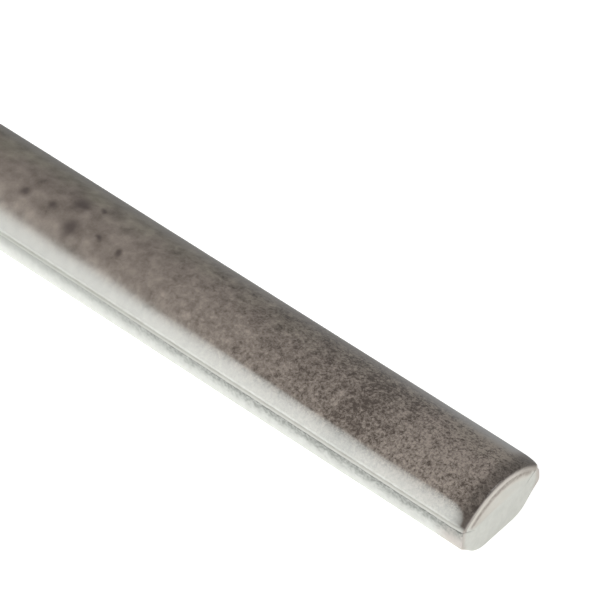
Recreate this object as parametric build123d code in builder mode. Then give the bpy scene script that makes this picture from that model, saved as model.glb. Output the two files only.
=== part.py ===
from build123d import *
import math
import os

# Quarter round tile: one straight length of fired trim, as it lies on its flat back.
# X runs along the length, Y across it, and Z up from the back to the crown of the face.
# The origin is the middle of the flat back. All sizes are in millimetres.

# Overall sizes of the piece.
overall_length = 152.4
overall_width = 19.05
overall_height = 12.4

# The face is this much of a circle, across the whole width.
face_angle = 90.0

# The glaze stands proud of the bare clay and laps a little way down each side.
glaze_thickness = 0.2
glaze_lap = 0.6

# The bare side below the glaze, and the leg that slopes from it to the back.
side_height = 3.7
leg_angle = 45.0

# Rounds of the section, from the back up to the glaze.
heel_round = 5.0
tip_round = 0.9
shoulder_round = 1.0

# Easing of both ends: wide where the glaze rolls over, slight on the bare clay.
glazed_end_round = 0.5
bare_end_round = 0.2

# Radius of the face, and the height where it comes down to the sides.
half_angle = math.radians(face_angle / 2)
face_y = overall_width / 2
face_radius = face_y / math.sin(half_angle)
shoulder_z = overall_height - face_radius * (1 - math.cos(half_angle))

# Lower edge of the glaze. Each bare side starts under it and leans out to be flush with it.
glaze_edge_z = shoulder_z - glaze_lap
side_y = face_y - glaze_thickness

# The tip where a side meets its leg, and the heel where the leg meets the back.
tip_y = face_y
tip_z = glaze_edge_z - side_height
heel_y = tip_y - tip_z / math.tan(math.radians(leg_angle))

# The glazed upper part: round face, rounded shoulders and the lap of the glaze.
with BuildPart() as glazed_part:
    with BuildSketch(Plane.YZ) as glazed_section:
        with BuildLine():
            ThreePointArc(
                (face_y, shoulder_z),
                (0, overall_height),
                (-face_y, shoulder_z),
            )
            Polyline(
                (-face_y, shoulder_z),
                (-face_y, glaze_edge_z),
                (face_y, glaze_edge_z),
                (face_y, shoulder_z),
            )
        make_face()
        fillet(glazed_section.vertices().group_by(Axis.Y)[-1], radius=shoulder_round)
    extrude(amount=overall_length / 2, both=True)

    # The glaze rolls over the outline of each end, down to its own lower edge.
    for end in (0, -1):
        outline = glazed_part.faces().sort_by(Axis.X)[end].edges().sort_by(Axis.Z)
        fillet(outline[1:], radius=glazed_end_round)

# The bare lower part: leaning sides, sloping legs and the flat back.
with BuildPart() as bare_part:
    with BuildSketch(Plane.YZ) as bare_section:
        with BuildLine():
            Polyline(
                (-side_y, glaze_edge_z),
                (-tip_y, tip_z),
                (-heel_y, 0),
                (heel_y, 0),
                (tip_y, tip_z),
                (side_y, glaze_edge_z),
                close=True,
            )
        make_face()
        fillet(bare_section.vertices().group_by(Axis.Y)[1], radius=tip_round)
        fillet(bare_section.vertices().group_by(Axis.Y)[0], radius=heel_round)
    extrude(amount=overall_length / 2, both=True)

    # Its ends are only slightly eased, all around below the glaze.
    for end in (0, -1):
        outline = bare_part.faces().sort_by(Axis.X)[end].edges().sort_by(Axis.Z)
        fillet(outline[:-1], radius=bare_end_round)

# One fired piece: the two parts of the section are a single solid.
with BuildPart() as quarter_round_tile:
    add(bare_part.part)
    add(glazed_part.part)

quarter_round_tile.part.label = "quarter_round_tile"

os.makedirs("parts", exist_ok=True)
export_step(quarter_round_tile.part, "parts/quarter_round_tile.step")
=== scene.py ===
# %% [markdown]
# # A quarter round tile
#
# This script dresses the CAD model of one length of glazed ceramic trim and sets it up
# for a studio photograph. The tile is a single fired piece. Its round face carries a
# mottled taupe glaze, and its back, sides and ends are bare off-white clay.
#
# The packed CAD model comes first, because every size here is worked out from its box.

# %% Load the packed model
import math

import bmesh
import bpy
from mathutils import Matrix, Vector


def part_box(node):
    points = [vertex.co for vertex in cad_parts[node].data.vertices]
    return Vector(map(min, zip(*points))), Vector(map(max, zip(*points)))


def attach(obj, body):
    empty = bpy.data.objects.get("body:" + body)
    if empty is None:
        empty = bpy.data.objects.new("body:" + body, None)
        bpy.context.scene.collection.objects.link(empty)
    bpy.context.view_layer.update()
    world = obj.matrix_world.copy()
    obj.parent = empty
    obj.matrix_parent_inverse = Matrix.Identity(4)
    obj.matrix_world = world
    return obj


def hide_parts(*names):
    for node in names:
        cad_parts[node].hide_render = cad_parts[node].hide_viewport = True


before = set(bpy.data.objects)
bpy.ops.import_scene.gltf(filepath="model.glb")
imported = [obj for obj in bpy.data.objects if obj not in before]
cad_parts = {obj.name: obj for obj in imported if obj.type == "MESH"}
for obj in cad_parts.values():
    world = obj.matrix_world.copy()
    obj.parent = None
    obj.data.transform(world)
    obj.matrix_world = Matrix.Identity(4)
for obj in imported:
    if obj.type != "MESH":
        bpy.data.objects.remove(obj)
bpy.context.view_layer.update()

low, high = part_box("quarter_round_tile")
length = high.x - low.x
width = high.y - low.y
height = high.z
mm = 0.001
print("tile, in mm:", [round(side / mm, 2) for side in (length, width, height)])

# %% [markdown]
# ## The camera
#
# The photograph is taken from above one end with a long lens, so the two long edges run
# almost parallel. A camera is placed either by eye or by solving for it. Here it is
# solved: the vanishing point of the long edges and the outline of the near end fix the
# angles, the focal length and the distance. The lens has no shift, and depth of field
# stays off.

# %% Camera
frame_pixels = 600
sensor_width = 36.0
focal_pixels = 4030.0
camera_azimuth = 41.21
camera_elevation = 45.82
camera_place = Vector((325.4, -331.8, 478.1)) * mm

camera_data = bpy.data.cameras.new("camera")
camera_data.sensor_width = sensor_width
camera_data.lens = focal_pixels / frame_pixels * sensor_width
camera_data.clip_start = 0.01
camera = bpy.data.objects.new("camera", camera_data)
camera.location = camera_place
camera.rotation_euler = (math.radians(90 - camera_elevation), 0, math.radians(camera_azimuth))
bpy.context.scene.collection.objects.link(camera)
bpy.context.scene.camera = camera
print("lens, in mm:", round(camera_data.lens, 1))

# %% [markdown]
# ## Numbers that wire themselves
#
# Both the shape and the finish are built from nodes. Wiring a sum by hand takes a node
# for every sign, so a small class stands for a socket and turns ordinary Python
# arithmetic into Math nodes. Every other node comes from one method, `node`, which takes
# the node's type, its settings and the values or links of its inputs.

# %% Sums of sockets
class Wire:
    """An output socket that can be used in arithmetic."""

    def __init__(self, nodes, socket):
        self.nodes = nodes
        self.socket = socket

    def math(self, operation, *others):
        values = dict(enumerate((self,) + others))
        return self.nodes.node("ShaderNodeMath", {"operation": operation}, values)

    def __add__(self, other):
        return self.math("ADD", other)

    __radd__ = __add__

    def __mul__(self, other):
        return self.math("MULTIPLY", other)

    __rmul__ = __mul__

    def __sub__(self, other):
        return self.math("SUBTRACT", other)

    def __rsub__(self, other):
        return self.nodes.node("ShaderNodeMath", {"operation": "SUBTRACT"}, {0: other, 1: self})

    def __truediv__(self, other):
        return self.math("DIVIDE", other)


signs = [name.strip("_") for name, method in vars(Wire).items() if callable(method)]
print("a socket understands:", signs)

# %% Node helpers
class Nodes:
    """A node tree, with one method that adds any node to it."""

    def __init__(self, tree):
        self.tree = tree

    def node(self, kind, settings=None, values=None, output=0):
        made = self.tree.nodes.new(kind)
        for name, value in (settings or {}).items():
            setattr(made, name, value)
        for key, value in (values or {}).items():
            if isinstance(value, Wire):
                self.tree.links.new(value.socket, made.inputs[key])
            else:
                made.inputs[key].default_value = value
        return Wire(self, made.outputs[output]) if made.outputs else None

    def smooth(self, value, start, end):
        """0 at start, 1 at end, with a soft step between them."""
        settings = {"interpolation_type": "SMOOTHSTEP"}
        values = {"Value": value, "From Min": start, "From Max": end}
        return self.node("ShaderNodeMapRange", settings, values)

    def clamp(self, value):
        """The value, kept between 0 and 1."""
        return self.node("ShaderNodeClamp", None, {"Value": value})

    def vector_math(self, operation, *vectors, **extra):
        values = dict(enumerate(vectors))
        values.update(extra)
        return self.node("ShaderNodeVectorMath", {"operation": operation}, values)

    def distance(self, first, second):
        """How far two places are from each other."""
        settings = {"operation": "DISTANCE"}
        return self.node("ShaderNodeVectorMath", settings, {0: first, 1: second}, output=1)

    def split(self, vector):
        parts = self.node("ShaderNodeSeparateXYZ", None, {0: vector}).socket.node
        return [Wire(self, output) for output in parts.outputs]

    def join(self, x, y, z):
        return self.node("ShaderNodeCombineXYZ", None, {0: x, 1: y, 2: z})

    def mix_colours(self, amount, first, second, blend="MIX"):
        settings = {"data_type": "RGBA", "blend_type": blend}
        return self.node("ShaderNodeMix", settings, {0: amount, 6: first, 7: second}, output=2)

    def noise(self, place, scale, detail=2.0, roughness=0.5, distortion=0.0):
        values = {
            "Vector": place,
            "Scale": scale,
            "Detail": detail,
            "Roughness": roughness,
            "Distortion": distortion,
        }
        return self.node("ShaderNodeTexNoise", None, values)


print("node helpers:", [name for name in vars(Nodes) if not name.startswith("_")])

# %% [markdown]
# ## The section of the tile
#
# Seen from its end, the tile has a flat back, two legs at 45 degrees that meet the tiles
# on either side of a corner, two short sides that lean out, and a face that is a quarter
# of a circle. The glaze stands a little proud of the clay and ends in a soft bead. On this
# piece the pressing left one side, towards +Y, a little fuller than the other.
#
# The outline is one closed loop of points. It could be drawn by hand, but it is written
# as straight runs and rounds with the CAD model's sizes, so that both shapes agree. Each
# point also carries how far the end of the tile is rounded there.

# %% Section sizes
face_angle = math.radians(90)
glaze_thickness = 0.2 * mm
glaze_lap = 0.6 * mm
side_height = 3.7 * mm
leg_angle = math.radians(45)
heel_round = 5.0 * mm
tip_round = 0.9 * mm
shoulder_round = 1.0 * mm
glazed_end_round = 0.5 * mm
bare_end_round = 0.18 * mm
glaze_roll_length = 3.2 * mm
belly_depth = 0.45 * mm
belly_low, belly_high = 2.0 * mm, 8.8 * mm

face_y = width / 2
face_radius = face_y / math.sin(face_angle / 2)
face_centre_z = height - face_radius
shoulder_z = face_centre_z + face_radius * math.cos(face_angle / 2)
glaze_edge_z = shoulder_z - glaze_lap
side_y = face_y - glaze_thickness
tip_y = face_y
tip_z = glaze_edge_z - side_height
heel_y = tip_y - tip_z / math.tan(leg_angle)
print("face radius, in mm:", round(face_radius / mm, 2))

# %% Rounds of the section
def corner_round(corner, before, after, radius, steps):
    """The round that a corner gets between its two neighbours."""
    towards_before = (before - corner).normalized()
    towards_after = (after - corner).normalized()
    half = towards_before.angle(towards_after) / 2
    reach = radius / math.tan(half)
    centre = corner + (towards_before + towards_after).normalized() * radius / math.sin(half)
    first = corner + towards_before * reach - centre
    last = corner + towards_after * reach - centre
    whole = first.angle(last)
    points = []
    for step in range(steps + 1):
        angle = whole * step / steps
        blend = first * math.sin(whole - angle) + last * math.sin(angle)
        points.append(centre + blend / math.sin(whole))
    return points


bead_round = glaze_thickness * 0.9
back_middle = Vector((0, 0))
heel = Vector((heel_y, 0))
tip = Vector((tip_y, tip_z))
bead_foot = Vector((side_y, glaze_edge_z))
bead_corner = Vector((face_y, glaze_edge_z))
shoulder = Vector((face_y, shoulder_z))

heel_points = corner_round(heel, back_middle, tip, heel_round, 9)
tip_points = corner_round(tip, heel, bead_foot, tip_round, 7)
bead_points = corner_round(bead_corner, bead_foot, shoulder, bead_round, 4)
shoulder_aim = shoulder + Vector((-math.cos(face_angle / 2), math.sin(face_angle / 2)))
shoulder_points = corner_round(shoulder, bead_corner, shoulder_aim, shoulder_round, 8)
all_rounds = (heel_points, tip_points, bead_points, shoulder_points)
print("points of heel, tip, bead and shoulder:", [len(points) for points in all_rounds])

# %% Half of the section
def straight(start, end, spacing):
    """Points from start up to, but not including, end."""
    steps = max(1, round((end - start).length / spacing))
    return [start.lerp(end, step / steps) for step in range(steps)]


def face_point(angle):
    return Vector((math.sin(angle), math.cos(angle))) * face_radius + Vector((0, face_centre_z))


face_spacing = 0.4 * mm
bare_spacing = 0.8 * mm
bare_half = straight(back_middle, heel_points[0], bare_spacing) + heel_points
bare_half += straight(heel_points[-1], tip_points[0], bare_spacing)[1:] + tip_points
bare_half += straight(tip_points[-1], bead_foot, bare_spacing / 2)[1:] + [bead_foot]
glazed_half = bead_points + shoulder_points

start_angle = math.atan2(shoulder_points[-1].x, shoulder_points[-1].y - face_centre_z)
face_steps = round(start_angle * face_radius / face_spacing)
for step in range(1, face_steps + 1):
    glazed_half.append(face_point(start_angle * (1 - step / face_steps)))

right_points = bare_half + glazed_half
travelled = [0.0]
for first, second in zip(right_points, right_points[1:]):
    travelled.append(travelled[-1] + (second - first).length)
lip_distance = travelled[len(bare_half) - 1]
half = [(point, distance - lip_distance) for point, distance in zip(right_points, travelled)]
half_distances = [round(distance / mm, 2) for distance in (lip_distance, travelled[-1])]
print("from the back's middle to the lip and to the crown, in mm:", half_distances)

# %% Whole section
belly_side = 0.8 * face_y


def fuller(point):
    """The same point, pushed out where the pressed side is a little full."""
    share = min(1, max(0, (point.y - belly_low) / (belly_high - belly_low)))
    push = belly_depth * math.sin(math.pi * share) ** 2 if point.x > belly_side else 0
    return point + Vector((push, 0))


right_half = [(fuller(point), lap) for point, lap in half]
left_half = [(Vector((-point.x, point.y)), lap) for point, lap in half[-2:0:-1]]
section = right_half + left_half
print("points round the section:", len(section))

# %% [markdown]
# The end of a pressed tile is not cut square. The glaze rolls over it in a long, low
# curve, while the bare clay has only a slight round. Rounding inwards along the outline's
# own direction would fold the mesh at tight corners. Each point is drawn instead towards
# a short line inside the section, and its step is scaled to give the same inset.

# %% Ways inwards
clear_distance = 0.8 * mm
core_share = 0.6
core_height = height * 0.45


def walk(loop, index, direction):
    """The first point of the loop that is well away from the given one."""
    place = index
    while (loop[place % len(loop)][0] - loop[index][0]).length < clear_distance:
        place += direction
    return loop[place % len(loop)][0]


def inward_step(loop, index):
    """The step towards the core that insets the outline by one unit."""
    point = loop[index][0]
    along = walk(loop, index, 1) - walk(loop, index, -1)
    inwards = Vector((-along.y, along.x)).normalized()
    core = Vector((point.x * core_share, core_height))
    towards_core = core - point
    return towards_core / towards_core.dot(inwards)


inward_steps = [inward_step(section, index) for index in range(len(section))]
print("longest way inwards for an inset of 1:", round(max(step.length for step in inward_steps), 2))

# %% Section loop
clay_reach = 1.2 * mm
passing_width = 1.8 * mm


def between(lap, bare, glazed):
    """A value of the bare clay that passes into the glaze's near its edge."""
    share = min(1, max(0, (lap + clay_reach) / passing_width))
    share = share * share * (3 - 2 * share)
    return bare + (glazed - bare) * share


loop_mesh = bpy.data.meshes.new("section")
corners = [(0, point.x, point.y) for point, lap in section]
edges = [(index, (index + 1) % len(section)) for index in range(len(section))]
loop_mesh.from_pydata(corners, edges, [])


def keep_on_points(name, values):
    """Stores one number for every point of the section."""
    kept = loop_mesh.attributes.new(name, "FLOAT", "POINT")
    kept.data.foreach_set("value", values)


laps = [lap for point, lap in section]
keep_on_points("lap", laps)
keep_on_points("round_depth", [between(lap, bare_end_round, glazed_end_round) for lap in laps])
keep_on_points("round_length", [between(lap, bare_end_round, glaze_roll_length) for lap in laps])
inward = loop_mesh.attributes.new("inward", "FLOAT_VECTOR", "POINT")
for index, step in enumerate(inward_steps):
    inward.data[index].vector = (0, step.x, step.y)
tile = bpy.data.objects.new("quarter_round_tile_glazed", loop_mesh)
bpy.context.scene.collection.objects.link(tile)
print("points and edges of the loop:", len(corners), len(edges))

# %% [markdown]
# ## Sweeping the section
#
# Such trim is pushed through a die or pressed in a long mould, so one section runs the
# whole length, and the ends are rounded afterwards. An array or a lofted mesh would do, but
# a sweep follows how the piece is made. Here Geometry Nodes pull the section along a line
# of stations.
#
# Each station knows how far along the straight run it is, how far it has rolled over the
# rounded end, and how far it has gone on across the flat end. The section's points know
# their place, their way inwards and their own rounding. One Set Position joins the two,
# so the glaze rolls over widely at the ends and the bare clay only slightly.

# %% Sweep tree
sweep = bpy.data.node_groups.new("pressed trim", "GeometryNodeTree")
sweep_inputs = {}


def add_input(name, kind, value):
    socket = sweep.interface.new_socket(name, in_out="INPUT", socket_type=kind)
    sweep_inputs[name] = (socket.identifier, value)


sweep.interface.new_socket("Geometry", in_out="INPUT", socket_type="NodeSocketGeometry")
sweep.interface.new_socket("Geometry", in_out="OUTPUT", socket_type="NodeSocketGeometry")
add_input("Half length", "NodeSocketFloat", length / 2)
add_input("Stations", "NodeSocketInt", 340)
add_input("Roll stations", "NodeSocketInt", 14)
add_input("Flat stations", "NodeSocketInt", 10)
add_input("Flat run", "NodeSocketFloat", 2.9 * mm)
add_input("Unevenness", "NodeSocketFloat", 0.05 * mm)
add_input("Seed", "NodeSocketFloat", 4.0)
add_input("Material", "NodeSocketMaterial", None)

build = Nodes(sweep)
group_input = build.node("NodeGroupInput").socket.node
given = {socket.name: Wire(build, socket) for socket in group_input.outputs if socket.name}
print("inputs of the sweep:", list(sweep_inputs))

# %% Stations along the length
def store(geometry, name, value, kind="FLOAT"):
    settings = {"data_type": kind, "domain": "POINT"}
    values = {"Geometry": geometry, "Name": name, "Value": value}
    return build.node("GeometryNodeStoreNamedAttribute", settings, values)


def read(name, kind="FLOAT"):
    return build.node("GeometryNodeInputNamedAttribute", {"data_type": kind}, {"Name": name})


line_values = {"Start": (-1, 0, 0), "End": (1, 0, 0)}
line = build.node("GeometryNodeCurvePrimitiveLine", None, line_values)
station_values = {"Curve": line, "Count": given["Stations"]}
stations = build.node("GeometryNodeResampleCurve", None, station_values)
number = build.node("GeometryNodeInputIndex")
last_number = given["Stations"] - 1
end_stations = given["Roll stations"] + given["Flat stations"]
from_end = number.math("MINIMUM", last_number - number)

along = 2 * build.clamp((number - end_stations) / (last_number - 2 * end_stations)) - 1
roll = build.clamp((end_stations - from_end) / given["Roll stations"]) * (math.pi / 2)
run = build.clamp((given["Flat stations"] - from_end) / given["Flat stations"]) * given["Flat run"]
stations = store(stations, "along", along)
stations = store(stations, "roll", roll)
stations = store(stations, "run", run)
print("nodes that place the stations:", len(sweep.nodes))

# %% Swept surface
profile = build.node("GeometryNodeMeshToCurve", None, {"Mesh": given["Geometry"]})
profile = store(profile, "spot", build.node("GeometryNodeInputPosition"), "FLOAT_VECTOR")
sweep_values = {"Curve": stations, "Profile Curve": profile, "Fill Caps": True}
surface = build.node("GeometryNodeCurveToMesh", None, sweep_values)

inset = read("round_depth") * (1 - read("roll").math("COSINE")) + read("run")
short_of_end = read("round_length") * (1 - read("roll").math("SINE"))
place_x = read("along") * (given["Half length"] - short_of_end)
spot = read("spot", "FLOAT_VECTOR")
moved = build.vector_math("SCALE", read("inward", "FLOAT_VECTOR"), Scale=inset)
spot_moved = build.vector_math("ADD", spot, moved)
place = build.vector_math("ADD", spot_moved, build.join(place_x, 0.0, 0.0))
surface = store(surface, "inset", inset)
surface = build.node("GeometryNodeSetPosition", None, {"Geometry": surface, "Position": place})
print("nodes with the swept surface:", len(sweep.nodes))

# %% [markdown]
# ## Unevenness of a fired piece
#
# Clay moves a little as it dries and fires, and a melted glaze never levels fully. Both
# show as a slow waver of the edges and of the reflected light. Sculpting would give it by
# hand. A slow noise that moves the points by a few hundredths of a millimetre gives it
# everywhere at once, and its seed keeps it the same at every run.

# %% Uneven surface
drift_scale = (60.0, 160.0, 160.0)
here = build.node("GeometryNodeInputPosition")
drift_place = build.vector_math("ADD", here, build.join(given["Seed"], 0.0, 0.0))
drift_place = build.vector_math("MULTIPLY", drift_place, drift_scale)
drift = (build.noise(drift_place, 1.0, detail=1.0) - 0.5) * read("roll").math("COSINE")
outwards = build.node("GeometryNodeInputNormal")
lift = build.vector_math("SCALE", outwards, Scale=drift * given["Unevenness"] * 2)
surface = build.node("GeometryNodeSetPosition", None, {"Geometry": surface, "Offset": lift})
surface = build.node("GeometryNodeSetShadeSmooth", None, {"Geometry": surface})
surface = build.node("GeometryNodeRealizeInstances", None, {"Geometry": surface})
material_values = {"Geometry": surface, "Material": given["Material"]}
surface = build.node("GeometryNodeSetMaterial", None, material_values)
build.node("NodeGroupOutput", None, {"Geometry": surface})
print("nodes of the whole sweep:", len(sweep.nodes))

# %% [markdown]
# ## Where the finish is painted
#
# The glaze is glass, so it is a glossy skin over a mottled body. The clay below it is matt
# and chalky. They could be two materials, but their border runs across the mesh, so one
# material blends them by how far a point is from the lower edge of the glaze.
#
# Two numbers that the sweep left on the mesh say where a point is: how far it lies above
# the edge of the glaze, and how far it is drawn in from the outline at an end. The
# object's own coordinates give the rest, in millimetres.
#
# The photograph is sharp at the near end only. Depth of field stays off, so the finish
# itself softens towards the far end: its grain, the line under its lip and its gloss.

# %% Places on the tile
finish = bpy.data.materials.new("glaze_and_bare_clay")
finish.use_nodes = True
finish.node_tree.nodes.clear()
paint = Nodes(finish.node_tree)


def attribute(name):
    return paint.node("ShaderNodeAttribute", {"attribute_name": name}, None, output=2)


object_place = paint.node("ShaderNodeTexCoord", None, None, output=3)
lap_mm = attribute("lap") / mm
inset_mm = attribute("inset") / mm
object_parts = paint.split(object_place)
along_mm = object_parts[0] / mm
across_mm = object_parts[1] / mm
flat_place = paint.join(along_mm, across_mm, 0.0)
from_middle = along_mm.math("ABSOLUTE")
near_corner = paint.smooth(from_middle, 70, 74)
sharp = paint.smooth(along_mm, -30.0, 48.0)
print("nodes that say where a point is:", len(finish.node_tree.nodes))

# %% [markdown]
# ## The mottle of the glaze
#
# In the kiln a glaze like this parts into light and dark. The eye finds a fine crisp
# grain, flecks of about a millimetre, blotches of a few millimetres and clouds that are
# wider still. A painted picture could hold them all, but noise of four sizes needs no
# picture and never repeats. Grain and flecks grow stronger towards the near end, blotches
# weaker, and all of them settle near the lip, where the glaze is thin.

# %% Mottle
grain = paint.noise(object_place, 2100.0, detail=3.0, roughness=0.75, distortion=0.5)
fleck = paint.noise(object_place, 850.0, detail=1.0, distortion=0.6)
blotch = paint.noise(object_place, 360.0, detail=1.0)
cloud = paint.noise(object_place, 160.0, detail=1.0)

crisp = paint.smooth(along_mm, 0.0, 62.0)
mottle = (grain - 0.5) * (0.4 + 3.2 * crisp)
mottle = mottle + (fleck - 0.5) * (0.22 + 0.95 * paint.smooth(along_mm, -18.0, 30.0))
mottle = mottle + (blotch - 0.5) * (1.0 - 0.6 * paint.smooth(along_mm, -15.0, 35.0))
mottle = mottle * (1 + 0.18 * crisp * paint.smooth(across_mm, -1.0, 3.0))
settled = 0.25 + 0.75 * paint.smooth(lap_mm, 2.0, 5.0)
mottle = 0.51 + (mottle + (cloud - 0.5) * 0.3) * settled
print("nodes with the mottle:", len(finish.node_tree.nodes))

# %% [markdown]
# ## Tides and iron specks
#
# Where the melted glaze lay thicker or thinner it is darker or lighter over a centimetre or
# so, and grains of iron melt into soft dark specks. Noise would put them anywhere. The
# large ones are what makes this piece this piece, so they are placed one by one, as ovals
# with soft edges. Each tide has its place, its length and width, and how much lighter it
# makes the glaze. Each speck has its place and its radius, and its edge is made ragged by
# shifting every point with the blotches before its distance is taken.

# %% Tides
# Place along and across, length and width, all in mm, and how much lighter.
tides = [
    (46, 0, 13, 14, -0.2),
    (50.6, -4, 4.2, 12, -0.17),
    (44.5, -5, 5, 6, 0.15),
    (63, 1, 9, 14, 0.1),
    (70, 7, 10, 7, 0.2),
    (70.5, 8, 4, 3.5, 0.3),
    (74, -7.5, 4, 4, -0.15),
    (26.5, 3.5, 6, 7, -0.18),
    (33, 8, 8, 5, -0.18),
    (13, -2, 14, 8, 0.09),
    (12, 5, 14, 5, -0.07),
    (-9.5, -4.5, 2.6, 3.5, -0.16),
    (-17, 2, 9, 14, -0.1),
    (-18, -6.3, 12, 3.2, 0.2),
    (-38, 5, 12, 8, -0.1),
]
for tide_x, tide_y, tide_length, tide_width, lighter in tides:
    tide_middle = (tide_x / tide_length, tide_y / tide_width, 0)
    tide_place = paint.vector_math("DIVIDE", flat_place, (tide_length, tide_width, 1))
    tide = 1 - paint.smooth(paint.distance(tide_place, tide_middle), 0.0, 1.3)
    mottle = mottle + tide * lighter
print("tides:", len(tides))

# %% Colour of the mottle
# Painted shade: the softer gloss of the far end spreads the light's band, so the glaze is
# darkened under it.
far_band_painted_shade = (1 - paint.smooth(lap_mm, 2.0, 4.3)) * (1 - paint.smooth(along_mm, -20.0, 40.0))
mottle = mottle - 0.23 * far_band_painted_shade

glaze_dark = (0.064, 0.0455, 0.0365, 1)
glaze_light = (0.306, 0.25, 0.219, 1)
olive_tint = (0.8, 0.95, 0.75, 1)
glaze_colour = paint.mix_colours(paint.clamp(mottle), glaze_dark, glaze_light)
olive = paint.smooth(across_mm + (cloud - 0.5) * 8, 0.0, 7.0) * (0.55 - 0.3 * sharp)
glaze_colour = paint.mix_colours(olive, glaze_colour, olive_tint, "MULTIPLY")
print("nodes with the mottle's colour:", len(finish.node_tree.nodes))

# %% Iron specks
# Place along and across, and radius, all in mm.
iron_specks = [
    (-12.3, -3.4, 2.3),
    (-14.3, 1.6, 2.0),
    (-23.6, -2.3, 1.5),
    (-18.0, -1.6, 1.1),
    (-10.6, 3.0, 0.7),
    (-2.3, -2.5, 0.9),
    (-7.2, -2.0, 0.8),
    (-36.5, 3.1, 1.2),
    (-52.0, -2.7, 0.9),
    (-63.5, 1.2, 1.4),
]
iron_brown = (0.052, 0.035, 0.031, 1)
speck_squash = 0.9
ragged = (blotch - 0.5) * 1.6
ragged_place = paint.join(along_mm + ragged, across_mm * speck_squash - ragged, 0.0)
specked = 0.0
for speck_x, speck_y, speck_radius in iron_specks:
    distance = paint.distance(ragged_place, (speck_x, speck_y * speck_squash, 0))
    speck = 1 - paint.smooth(distance, 0.1 * speck_radius, 1.15 * speck_radius)
    specked = specked + speck
glaze_colour = paint.mix_colours(paint.clamp(specked) * 0.85, glaze_colour, iron_brown)
print("iron specks:", len(iron_specks))

# %% [markdown]
# ## Pale and dark bands on the glaze
#
# Melted glaze creeps off an edge and thins there. It is thin and pale just above its lip
# and where it rolls over the end; on the rolled end the pale colour is also a painted
# highlight, brightest in the middle of the arc. Along the far edge of the face a pale
# painted reflection is added, and the glaze is darker just before the roll. One colour ramp
# along the outline could show this on the sides only. Here each effect is a soft band of its
# own, and the later ones cover the earlier.

# %% Painted reflection on the far edge, and the darker strip before the roll
reflection_pale_grey = (0.37, 0.365, 0.36, 1)
end_strip_brown = (0.035, 0.026, 0.02, 1)
# Painted reflection: a pale band along the far edge of the face, stronger towards the near end.
painted_reflection_fringe = paint.smooth(across_mm, 5.2, 9.2) * (0.25 + 0.75 * paint.smooth(along_mm, 40, 70))
painted_reflection_fringe = painted_reflection_fringe * (1 - 0.8 * paint.smooth(along_mm, 72.0, 74.6))
glaze_colour = paint.mix_colours(painted_reflection_fringe, glaze_colour, reflection_pale_grey)
# The glaze is darker in a strip just before the roll over the end.
darker_before_roll = paint.smooth(from_middle + (cloud - 0.5) * 3, 72.6, 75.4) * 0.55
glaze_colour = paint.mix_colours(darker_before_roll, glaze_colour, end_strip_brown)
print("nodes with the pools:", len(finish.node_tree.nodes))

# %% Cream edges of the glaze, with a painted highlight on the rolled end
end_highlight_cream = (0.74, 0.68, 0.62, 1)
end_cream_outer = (0.52, 0.47, 0.42, 1)
side_cream_far = (0.42, 0.415, 0.385, 1)
side_cream_near = (0.53, 0.515, 0.485, 1)
waver = (paint.noise(object_place, 700.0) - 0.5) * 0.3
inset_waver = inset_mm + waver
thin_side = 1 - paint.smooth(lap_mm + waver, 0.5, 1.5)
thin_end_and_highlight = paint.smooth(inset_waver, 0.3, 1.35)
on_face_end = paint.smooth(inset_mm, 0.3, 0.6)
end_highlight_falloff = paint.smooth((across_mm + 0.3).math("ABSOLUTE"), 3.0, 7.0)
# On the rolled end the cream is thin glaze and also a painted highlight, brightest mid-arc.
end_cream_and_highlight = paint.mix_colours(end_highlight_falloff, end_highlight_cream, end_cream_outer)
side_cream = paint.mix_colours(sharp, side_cream_far, side_cream_near)
cream = paint.mix_colours(on_face_end, side_cream, end_cream_and_highlight)
thin_glaze_and_highlight = thin_side.math("MAXIMUM", thin_end_and_highlight)
glaze_colour = paint.mix_colours(thin_glaze_and_highlight, glaze_colour, cream)
print("nodes with the glaze:", len(finish.node_tree.nodes))

# %% [markdown]
# ## Bare clay
#
# The clay is off-white and faintly uneven. It is darker in a ragged strip below the lip,
# its rounded end edges get painted light against their shade, and the corners below the
# lip are warmer. Its sides get painted shade.
# On the end face a brown line follows the rolled edge of the glaze, with a blush inside it.
# Each is again a soft band, placed by the same two numbers as the glaze.

# %% Bare clay
clay_dark = (0.665, 0.665, 0.612, 1)
clay_light = (0.72, 0.72, 0.665, 1)
clay_tone = paint.smooth(paint.noise(object_place, 900.0, detail=4.0), 0.3, 0.7)
clay_colour = paint.mix_colours(clay_tone, clay_dark, clay_light)

short_of_end = 1 - paint.smooth(inset_mm, 0.1, 0.4)
# Painted shade: the clay of the sides is darkened and tinted against the key light's colour, short
# of the ends.
side_painted_shade_tint = (0.87, 0.85, 0.885, 1)
painted_side_shade = paint.smooth(lap_mm, -4.6, -2.4) * short_of_end
clay_colour = paint.mix_colours(painted_side_shade, clay_colour, side_painted_shade_tint, "MULTIPLY")

# Painted light: the rounded end edges of the clay are lightened against their shade.
painted_light_white = (0.9, 0.9, 0.86, 1)
painted_edge_light = paint.smooth(inset_mm, 0.0, 0.04) * (1 - paint.smooth(inset_mm, 0.16, 0.3))
clay_colour = paint.mix_colours(painted_edge_light * 0.9, clay_colour, painted_light_white)

warm_tint = (0.87, 0.8, 0.785, 1)
outer_side = paint.smooth(across_mm.math("ABSOLUTE"), 7.6, 9.0)
warm = near_corner * (1 - paint.smooth(inset_mm, 0.3, 1.6)) * outer_side
clay_colour = paint.mix_colours(warm, clay_colour, warm_tint, "MULTIPLY")
print("nodes with the clay:", len(finish.node_tree.nodes))

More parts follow.
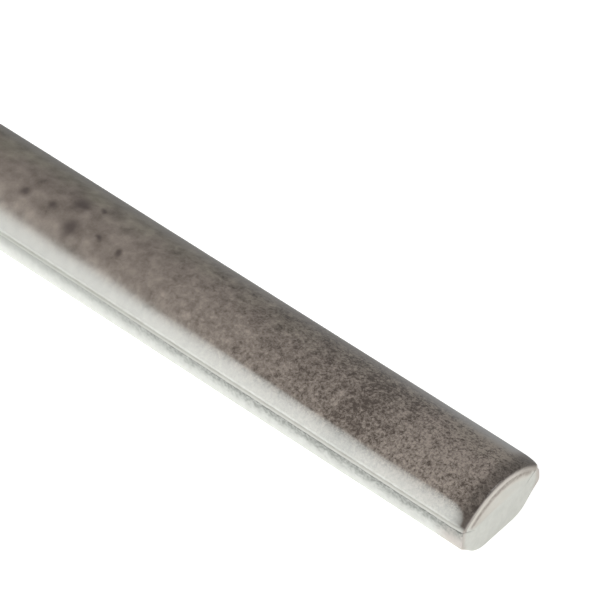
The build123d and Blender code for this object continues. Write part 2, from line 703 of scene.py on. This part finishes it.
# %% Darker strip below the lip
# The clay is darker in a ragged strip below the lip.
under_lip_grey = (0.25, 0.248, 0.232, 1)
speckle = paint.noise(object_place, 1800.0, detail=2.0)
under_lip_patch = paint.noise(object_place, 800.0, detail=3.0, roughness=0.65) - 0.5
under_lip_lap = lap_mm + under_lip_patch * (1.0 + 1.6 * sharp) - near_corner * 0.3
under_lip_dark = paint.smooth(under_lip_lap, -2.9, -0.3) * short_of_end
under_lip_dark = under_lip_dark * (0.69 + 0.22 * sharp + (speckle - 0.5) * 2.2 * sharp)
clay_colour = paint.mix_colours(paint.clamp(under_lip_dark), clay_colour, under_lip_grey)
print("nodes with the stain:", len(finish.node_tree.nodes))

# %% Rim on the end face
blush_pink = (0.71, 0.67, 0.6, 1)
rim_brown = (0.33, 0.28, 0.24, 1)
rim_end = paint.smooth(lap_mm, 0.2, 2.4)
rim_place = inset_waver + across_mm * 0.08
blush = (1 - paint.smooth(rim_place, 2.6, 4.2)) * rim_end
clay_colour = paint.mix_colours(blush, clay_colour, blush_pink)
brown_line = paint.smooth(rim_place, 1.5, 2.1) * (1 - paint.smooth(rim_place, 2.25, 3.3))
brown_line = brown_line * rim_end * (0.75 + (speckle - 0.5) * 1.5)
clay_colour = paint.mix_colours(paint.clamp(brown_line), clay_colour, rim_brown)
print("nodes with the rim:", len(finish.node_tree.nodes))

# %% [markdown]
# ## One surface for both
#
# A mask that is 1 on the glaze blends the two colours and the two roughnesses, and keeps
# the clay's fine bumps off the glass. A dark line follows the mask's border on the sides:
# painted shade in the step under the lip, broken up by dirt. Two Principled shaders and a
# Mix Shader would do the same with more nodes.
#
# The glaze stays under a roughness of 0.27. The denoiser treats rougher gloss as matt, and
# it would draw a thin line across the tile where the roughness passed that value.

# %% One colour
lip_shade_and_dirt_dark = (0.09, 0.088, 0.082, 1)
glazed = paint.smooth(lap_mm, -0.05, 0.05) * (1 - paint.smooth(inset_waver, 1.3, 1.7))
colour = paint.mix_colours(glazed, clay_colour, glaze_colour)
# Painted shade in the step under the lip, broken up by dirt: a dark line along the glaze's edge.
lip_shade_and_dirt_line = 1 - paint.smooth((lap_mm - 0.03).math("ABSOLUTE"), 0.1, 0.38)
lip_shade_and_dirt_line = lip_shade_and_dirt_line * (1 - paint.smooth(inset_mm, 0.1, 0.5))
lip_shade_and_dirt_line = lip_shade_and_dirt_line * (0.25 + 0.75 * sharp + (speckle - 0.5) * 7 * sharp)
colour = paint.mix_colours(paint.clamp(lip_shade_and_dirt_line), colour, lip_shade_and_dirt_dark)
print("nodes with both colours:", len(finish.node_tree.nodes))

# %% One surface
clay_roughness = 0.75
far_roughness, near_roughness = 0.268, 0.08
glaze_roughness = far_roughness + (near_roughness - far_roughness) * sharp
roughness = clay_roughness + glazed * (glaze_roughness - clay_roughness)
bump_height = paint.noise(object_place, 1200.0, detail=3.0) * (1 - glazed)
bump_values = {"Strength": 0.35, "Distance": 0.08 * mm, "Height": bump_height}
bump = paint.node("ShaderNodeBump", None, bump_values)
surface_values = {"Base Color": colour, "Roughness": roughness, "Normal": bump, "IOR": 1.7}
fired = paint.node("ShaderNodeBsdfPrincipled", None, surface_values)
paint.node("ShaderNodeOutputMaterial", None, {"Surface": fired})
print("nodes of the whole finish:", len(finish.node_tree.nodes))

# %% [markdown]
# ## Making the tile
#
# The section's loop now gets the sweep as a modifier. The modifier could stay on, but a
# plain mesh is what is measured, so its result is kept and the modifier is removed. The
# mesh has to be closed, with all its faces outwards: then no edge is open and its volume
# is positive.

# %% Make the tile
modifier = tile.modifiers.new("pressed trim", "NODES")
modifier.node_group = sweep
for name, (identifier, value) in sweep_inputs.items():
    modifier[identifier] = finish if name == "Material" else value

tile_evaluated = tile.evaluated_get(bpy.context.evaluated_depsgraph_get())
tile_mesh = bpy.data.meshes.new_from_object(tile_evaluated)
tile.modifiers.clear()
tile.data = tile_mesh
tile_mesh.name = "quarter_round_tile_glazed"
triangles = sum(len(face.vertices) - 2 for face in tile_mesh.polygons)
print("triangles of the tile:", triangles)

check_mesh = bmesh.new()
check_mesh.from_mesh(tile_mesh)
print("open edges:", sum(1 for edge in check_mesh.edges if not edge.is_manifold))
print("volume, in mm3:", round(check_mesh.calc_volume(signed=True) / mm ** 3))
check_mesh.free()

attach(tile, "root")
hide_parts("quarter_round_tile")

# %% [markdown]
# ## Floor and light
#
# The photograph was taken on a bright white sweep that blows out to pure white. One large
# oval softbox stands above the near long side, towards the far end, and fades to its rim.
# Its reflection is the pale band along the shoulder. A small round one fills the near end,
# and the floor and the world give an even light from all around.
#
# A picture of a studio could light the scene too, but these few lights can be moved until
# the band lies where the photograph has it. The floor glows so that it renders white. It is
# left out of glossy reflections, or it would draw a second band on the tile's lower side.

# %% Floor
floor_mesh = bpy.data.meshes.new("floor")
reach = 4.0
floor_corners = [(-reach, -reach, 0), (reach, -reach, 0), (reach, reach, 0), (-reach, reach, 0)]
floor_mesh.from_pydata(floor_corners, [], [(0, 1, 2, 3)])
floor = bpy.data.objects.new("floor", floor_mesh)
bpy.context.scene.collection.objects.link(floor)
floor_finish = bpy.data.materials.new("white_sweep")
floor_finish.use_nodes = True
floor_finish.node_tree.nodes.clear()
sweep_paint = Nodes(floor_finish.node_tree)
floor_values = {
    "Base Color": (0.6, 0.6, 0.6, 1),
    "Roughness": 0.9,
    "Specular IOR Level": 0.0,
    "Emission Color": (1, 1, 1, 1),
    "Emission Strength": 0.75,
}
floor_shader = sweep_paint.node("ShaderNodeBsdfPrincipled", None, floor_values)
sweep_paint.node("ShaderNodeOutputMaterial", None, {"Surface": floor_shader})
floor_mesh.materials.append(floor_finish)
floor.visible_glossy = False
print("floor, in m:", [round(side, 1) for side in floor.dimensions])

# %% World
studio_glow = 0.35
world = bpy.data.worlds.new("studio")
bpy.context.scene.world = world
world.use_nodes = True
background = world.node_tree.nodes["Background"]
background.inputs["Color"].default_value = (1, 1, 1, 1)
background.inputs["Strength"].default_value = studio_glow
bpy.context.scene.view_settings.view_transform = "Standard"
print("world strength:", studio_glow)

# %% Softbox
def softbox(name, place, direction, size, radiance, shade=(1, 1, 1)):
    """An oval light that comes from the given direction, brightest in its middle.

    Its power follows its size, so radiance is how bright it looks, whatever its size.
    """
    light = bpy.data.lights.new(name, "AREA")
    light.shape = "ELLIPSE"
    light.size, light.size_y = size
    light.energy = math.pi * light.size * light.size_y
    light.color = shade
    light.use_nodes = True
    light.node_tree.nodes.clear()
    glow = Nodes(light.node_tree)
    spot = glow.split(glow.node("ShaderNodeNewGeometry", None, None, output=5))
    along = (spot[0] - 0.5) * 2
    across = (spot[1] - 0.5) * 2
    inside = (1 - along * along - across * across).math("MAXIMUM", 0.0)
    brightness = radiance * inside.math("POWER", 0.75)
    lit = glow.node("ShaderNodeEmission", None, {"Strength": brightness})
    glow.node("ShaderNodeOutputLight", None, {"Surface": lit})
    lamp = bpy.data.objects.new(name, light)
    lamp.location = place
    lamp.rotation_euler = direction.to_track_quat("Z", "Y").to_euler()
    bpy.context.scene.collection.objects.link(lamp)
    print(name, "stands at", [round(value, 2) for value in lamp.location])
    return lamp


key_height = math.radians(44.5)
key_turn = math.radians(-7)
key_size, key_radiance, key_shade = (2.0, 0.88), 6.7, (0.93, 1.0, 0.963)
key_direction = Vector((0, -math.cos(key_height), math.sin(key_height)))
key_place = key_direction + Vector((-0.9, 0, 0))
key = softbox("key", key_place, key_direction, key_size, key_radiance, key_shade)
key.rotation_euler.rotate_axis("Z", key_turn)

fill_size, fill_radiance = (0.7, 0.7), 2.8
fill_direction = Vector((0.75, 0.35, 0.6))
softbox("fill", fill_direction * 1.2, fill_direction, fill_size, fill_radiance)

# %% [markdown]
